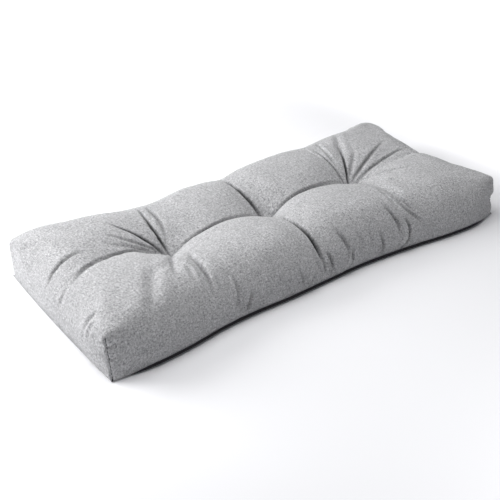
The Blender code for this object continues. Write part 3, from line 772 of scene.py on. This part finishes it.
def cloth_material():
    """Grey heather: flecked yarns in a plain weave, laid out along the cover's own directions, with painted
    shade in its deep folds and between its yarns.
    """
    material = bpy.data.materials.new("heather_cloth")
    shader = shader_of(material)
    tree = material.node_tree

    def calc(operation, a, b=0.0, c=0.0):
        """One operation on up to three values, each a number or a socket."""
        made = tree.nodes.new("ShaderNodeMath")
        made.operation = operation
        for socket, value in zip(made.inputs, (a, b, c)):
            if isinstance(value, (int, float)):
                socket.default_value = value
            else:
                tree.links.new(value, socket)
        return made.outputs[0]

    def chance(a, b):
        """A shade from 0 to 1 for each whole (a, b)."""
        join = tree.nodes.new("ShaderNodeCombineXYZ")
        tree.links.new(a, join.inputs[0])
        tree.links.new(b, join.inputs[1])
        made = tree.nodes.new("ShaderNodeTexWhiteNoise")
        made.noise_dimensions = "2D"
        tree.links.new(join.outputs[0], made.inputs["Vector"])
        return made.outputs["Value"]

    flat = tree.nodes.new("ShaderNodeUVMap")
    flat.uv_map = CLOTH_DIRECTIONS
    split = tree.nodes.new("ShaderNodeSeparateXYZ")
    tree.links.new(flat.outputs[0], split.inputs[0])

    def cloud(size, detail):
        """Soft unevenness of a size, from 0 to 1."""
        made = tree.nodes.new("ShaderNodeTexNoise")
        made.noise_dimensions = "2D"
        made.inputs["Scale"].default_value = 1.0 / size
        made.inputs["Detail"].default_value = detail
        tree.links.new(flat.outputs[0], made.inputs["Vector"])
        return made.outputs["Fac"]

    along_x = calc("DIVIDE", split.outputs[0], YARN)
    along_y = calc("DIVIDE", split.outputs[1], YARN)
    warp_yarn, weft_yarn = calc("FLOOR", along_x), calc("FLOOR", along_y)

    def flecks(yarn, way, draw):
        """The shade of each fleck along each yarn; every yarn starts its flecks at its own place."""
        start = calc("MULTIPLY", chance(yarn, calc("ADD", yarn, draw)), FLECKS_FROM)
        fleck = calc("FLOOR", calc("DIVIDE", calc("ADD", way, start), FLECK))
        return chance(yarn, calc("ADD", fleck, draw))

    warp, weft = flecks(warp_yarn, along_y, WARP_DRAW), flecks(weft_yarn, along_x, WEFT_DRAW)
    weft_over = calc("MODULO", calc("ABSOLUTE", calc("ADD", warp_yarn, weft_yarn)), 2.0)
    yarn_shade = calc("ADD", calc("MULTIPLY", warp, calc("SUBTRACT", 1.0, weft_over)),
                      calc("MULTIPLY", weft, weft_over))

    # how round the yarn on top stands, as a height from 0 to 1
    round_x = calc("SINE", calc("MULTIPLY", calc("FRACT", along_x), math.pi))
    round_y = calc("SINE", calc("MULTIPLY", calc("FRACT", along_y), math.pi))
    relief = calc("MULTIPLY", round_x, round_y)

    mottle = cloud(MOTTLE_SIZE, MOTTLE_DETAIL)
    patch = cloud(PATCH_SIZE, PATCH_DETAIL)
    shade = calc("ADD", calc("MULTIPLY", yarn_shade, YARN_SHARE), calc("MULTIPLY", mottle, MOTTLE_SHARE))
    shade = calc("ADD", shade, calc("MULTIPLY", patch, PATCH_SHARE))
    shade = calc("SUBTRACT", shade, SHADE_OFF)
    # painted shade in the weave: the colour is darker in the dips between the yarns and lighter on their tops
    shade = calc("MULTIPLY", shade, calc("MULTIPLY_ADD", relief, ON_YARN, BETWEEN_YARNS))
    # painted shade: towards the folds' lines the colour goes nearly black, for the light that hardly gets in
    painted_fold_shade = tree.nodes.new("ShaderNodeAttribute")
    painted_fold_shade.attribute_name = PAINTED_SHADE_ATTRIBUTE
    deep = tree.nodes.new("ShaderNodeMix")
    deep.data_type = "RGBA"
    tree.links.new(painted_fold_shade.outputs["Fac"], deep.inputs["Factor"])
    tree.links.new(graded(tree, shade, DARK_YARN, LIGHT_YARN), deep.inputs["A"])
    deep.inputs["B"].default_value = (*PAINTED_FOLD_SHADE_COLOUR, 1.0)
    tree.links.new(deep.outputs["Result"], shader.inputs["Base Color"])
    bumped(tree, shader, calc("ADD", relief, calc("MULTIPLY", mottle, MOTTLE_RISE)), *CLOTH_BUMP)

    shader.inputs["Roughness"].default_value = 0.92
    shader.inputs["Specular IOR Level"].default_value = 0.20
    shader.inputs["Sheen Weight"].default_value = 0.20
    shader.inputs["Sheen Roughness"].default_value = 0.50
    return material


def underside_material():
    """The bottom panel, coloured near black."""
    material = bpy.data.materials.new("dark_cloth")
    shader = shader_of(material)
    tree = material.node_tree
    flat = tree.nodes.new("ShaderNodeUVMap")
    flat.uv_map = CLOTH_DIRECTIONS
    weave = tree.nodes.new("ShaderNodeTexVoronoi")
    weave.inputs["Scale"].default_value = 1.0 / YARN
    weave.inputs["Randomness"].default_value = BOTTOM_UNEVEN
    tree.links.new(flat.outputs[0], weave.inputs["Vector"])
    colour = graded(tree, weave.outputs["Distance"], BOTTOM_YARN, BOTTOM_GAP)
    tree.links.new(colour, shader.inputs["Base Color"])
    bumped(tree, shader, weave.outputs["Distance"], *BOTTOM_BUMP)
    shader.inputs["Roughness"].default_value = 0.95
    return material


def thread_material(name, colour):
    """Spun thread: a matt colour with a fine twist."""
    material = bpy.data.materials.new(name)
    shader = shader_of(material)
    tree = material.node_tree
    place = tree.nodes.new("ShaderNodeTexCoord")
    twist = tree.nodes.new("ShaderNodeTexWave")
    twist.inputs["Scale"].default_value = THREAD_TWIST
    twist.inputs["Distortion"].default_value = THREAD_UNEVEN
    tree.links.new(place.outputs["Object"], twist.inputs["Vector"])
    low, high = ([part * (1.0 + way * THREAD_CONTRAST) for part in colour] for way in (-1, 1))
    tree.links.new(graded(tree, twist.outputs["Fac"], low, high), shader.inputs["Base Color"])
    bumped(tree, shader, twist.outputs["Fac"], *THREAD_BUMP)
    shader.inputs["Roughness"].default_value = 0.75
    return material


# ---------------------------------------------------------------- the studio
CAMERA_AT = (-1.13711, -1.42257, 1.12265)
CAMERA_AIM = (-0.10156, -0.05853, 0.05000)
CAMERA_ROLL = math.radians(0.33)
CAMERA_LENS, CAMERA_SENSOR = 61.4, 36.0       # millimetres

FLOOR_REACH = 8.0
FLOOR_COLOUR = (0.93, 0.93, 0.95, 1.0)
SKY_COLOUR, SKY_STRENGTH = (0.97, 0.98, 1.0, 1.0), 0.210

# Square soft boxes, facing the cushion: where they hang, how wide they are, and their watts
Lamp = namedtuple("Lamp", "name x y z size watts")
LAMPS = [
    Lamp("window_side", -1.45, 1.25, 0.95, 1.20, 49.0),
    Lamp("overhead", -0.12, 0.15, 2.00, 1.60, 28.5),
]
# and wide boxes facing straight down, which whiten the floor round the cushion and miss the cushion
FLOOR_LAMPS = [
    Lamp("floor_behind", 1.90, 2.65, 1.50, 2.60, 95.0),
    Lamp("floor_beyond", 2.04, 0.72, 0.65, 2.00, 52.0),
    Lamp("floor_before", 0.35, -1.60, 1.00, 1.20, 4.5),
]
FLOOR_SPREAD = math.radians(70)


def camera():
    """The camera, at the photograph's viewing angle."""
    data = bpy.data.cameras.new("camera")
    data.lens = CAMERA_LENS
    data.sensor_width = CAMERA_SENSOR
    made = bpy.data.objects.new("camera", data)
    bpy.context.scene.collection.objects.link(made)
    look = (Vector(CAMERA_AIM) - Vector(CAMERA_AT)).to_track_quat("-Z", "Y").to_matrix()
    made.matrix_world = Matrix.Translation(CAMERA_AT) @ (look @ Matrix.Rotation(CAMERA_ROLL, 3, "Z")).to_4x4()
    bpy.context.scene.camera = made


def stage_floor():
    """The plain pale floor that the cushion lies on."""
    reach = FLOOR_REACH
    mesh = bpy.data.meshes.new("floor")
    mesh.from_pydata([(-reach, -reach, 0), (reach, -reach, 0), (reach, reach, 0), (-reach, reach, 0)],
                     [], [(0, 1, 2, 3)])
    material = bpy.data.materials.new("floor")
    shader = shader_of(material)
    shader.inputs["Base Color"].default_value = FLOOR_COLOUR
    shader.inputs["Roughness"].default_value = 1.0
    shader.inputs["Specular IOR Level"].default_value = 0.0
    mesh.materials.append(material)
    floor = bpy.data.objects.new("floor", mesh)
    bpy.context.scene.collection.objects.link(floor)


def light():
    """The lamps and the even light from all round."""
    for lamp in LAMPS + FLOOR_LAMPS:
        data = bpy.data.lights.new(lamp.name, "AREA")
        data.size = lamp.size
        data.energy = lamp.watts
        made = bpy.data.objects.new(lamp.name, data)
        bpy.context.scene.collection.objects.link(made)
        made.location = (lamp.x, lamp.y, lamp.z)
        if lamp in FLOOR_LAMPS:
            data.spread = FLOOR_SPREAD
        else:
            made.rotation_euler = Vector((lamp.x, lamp.y, lamp.z)).to_track_quat("Z", "Y").to_euler()
        made.visible_camera = False

    world = bpy.data.worlds.new("studio")
    world.use_nodes = True
    world.node_tree.nodes["Background"].inputs["Color"].default_value = SKY_COLOUR
    world.node_tree.nodes["Background"].inputs["Strength"].default_value = SKY_STRENGTH
    bpy.context.scene.world = world
    bpy.context.scene.view_settings.view_transform = "Standard"


camera()
stage_floor()
light()
cloth = cloth_material()
dark_thread = thread_material("dark_thread", DARK_THREAD)
grey_thread = thread_material("grey_thread", GREY_THREAD)
cushion_cover, grid_places, grid_points = cover(cloth, underside_material())
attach(cushion_cover, "root")
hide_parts("cushion")
for piece in (corner_stitches(grid_places, grid_points, dark_thread),
              base_seam(grid_places, grid_points, cloth),
              tuft_threads(grid_places, grid_points, grey_thread)):
    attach(piece, "root")
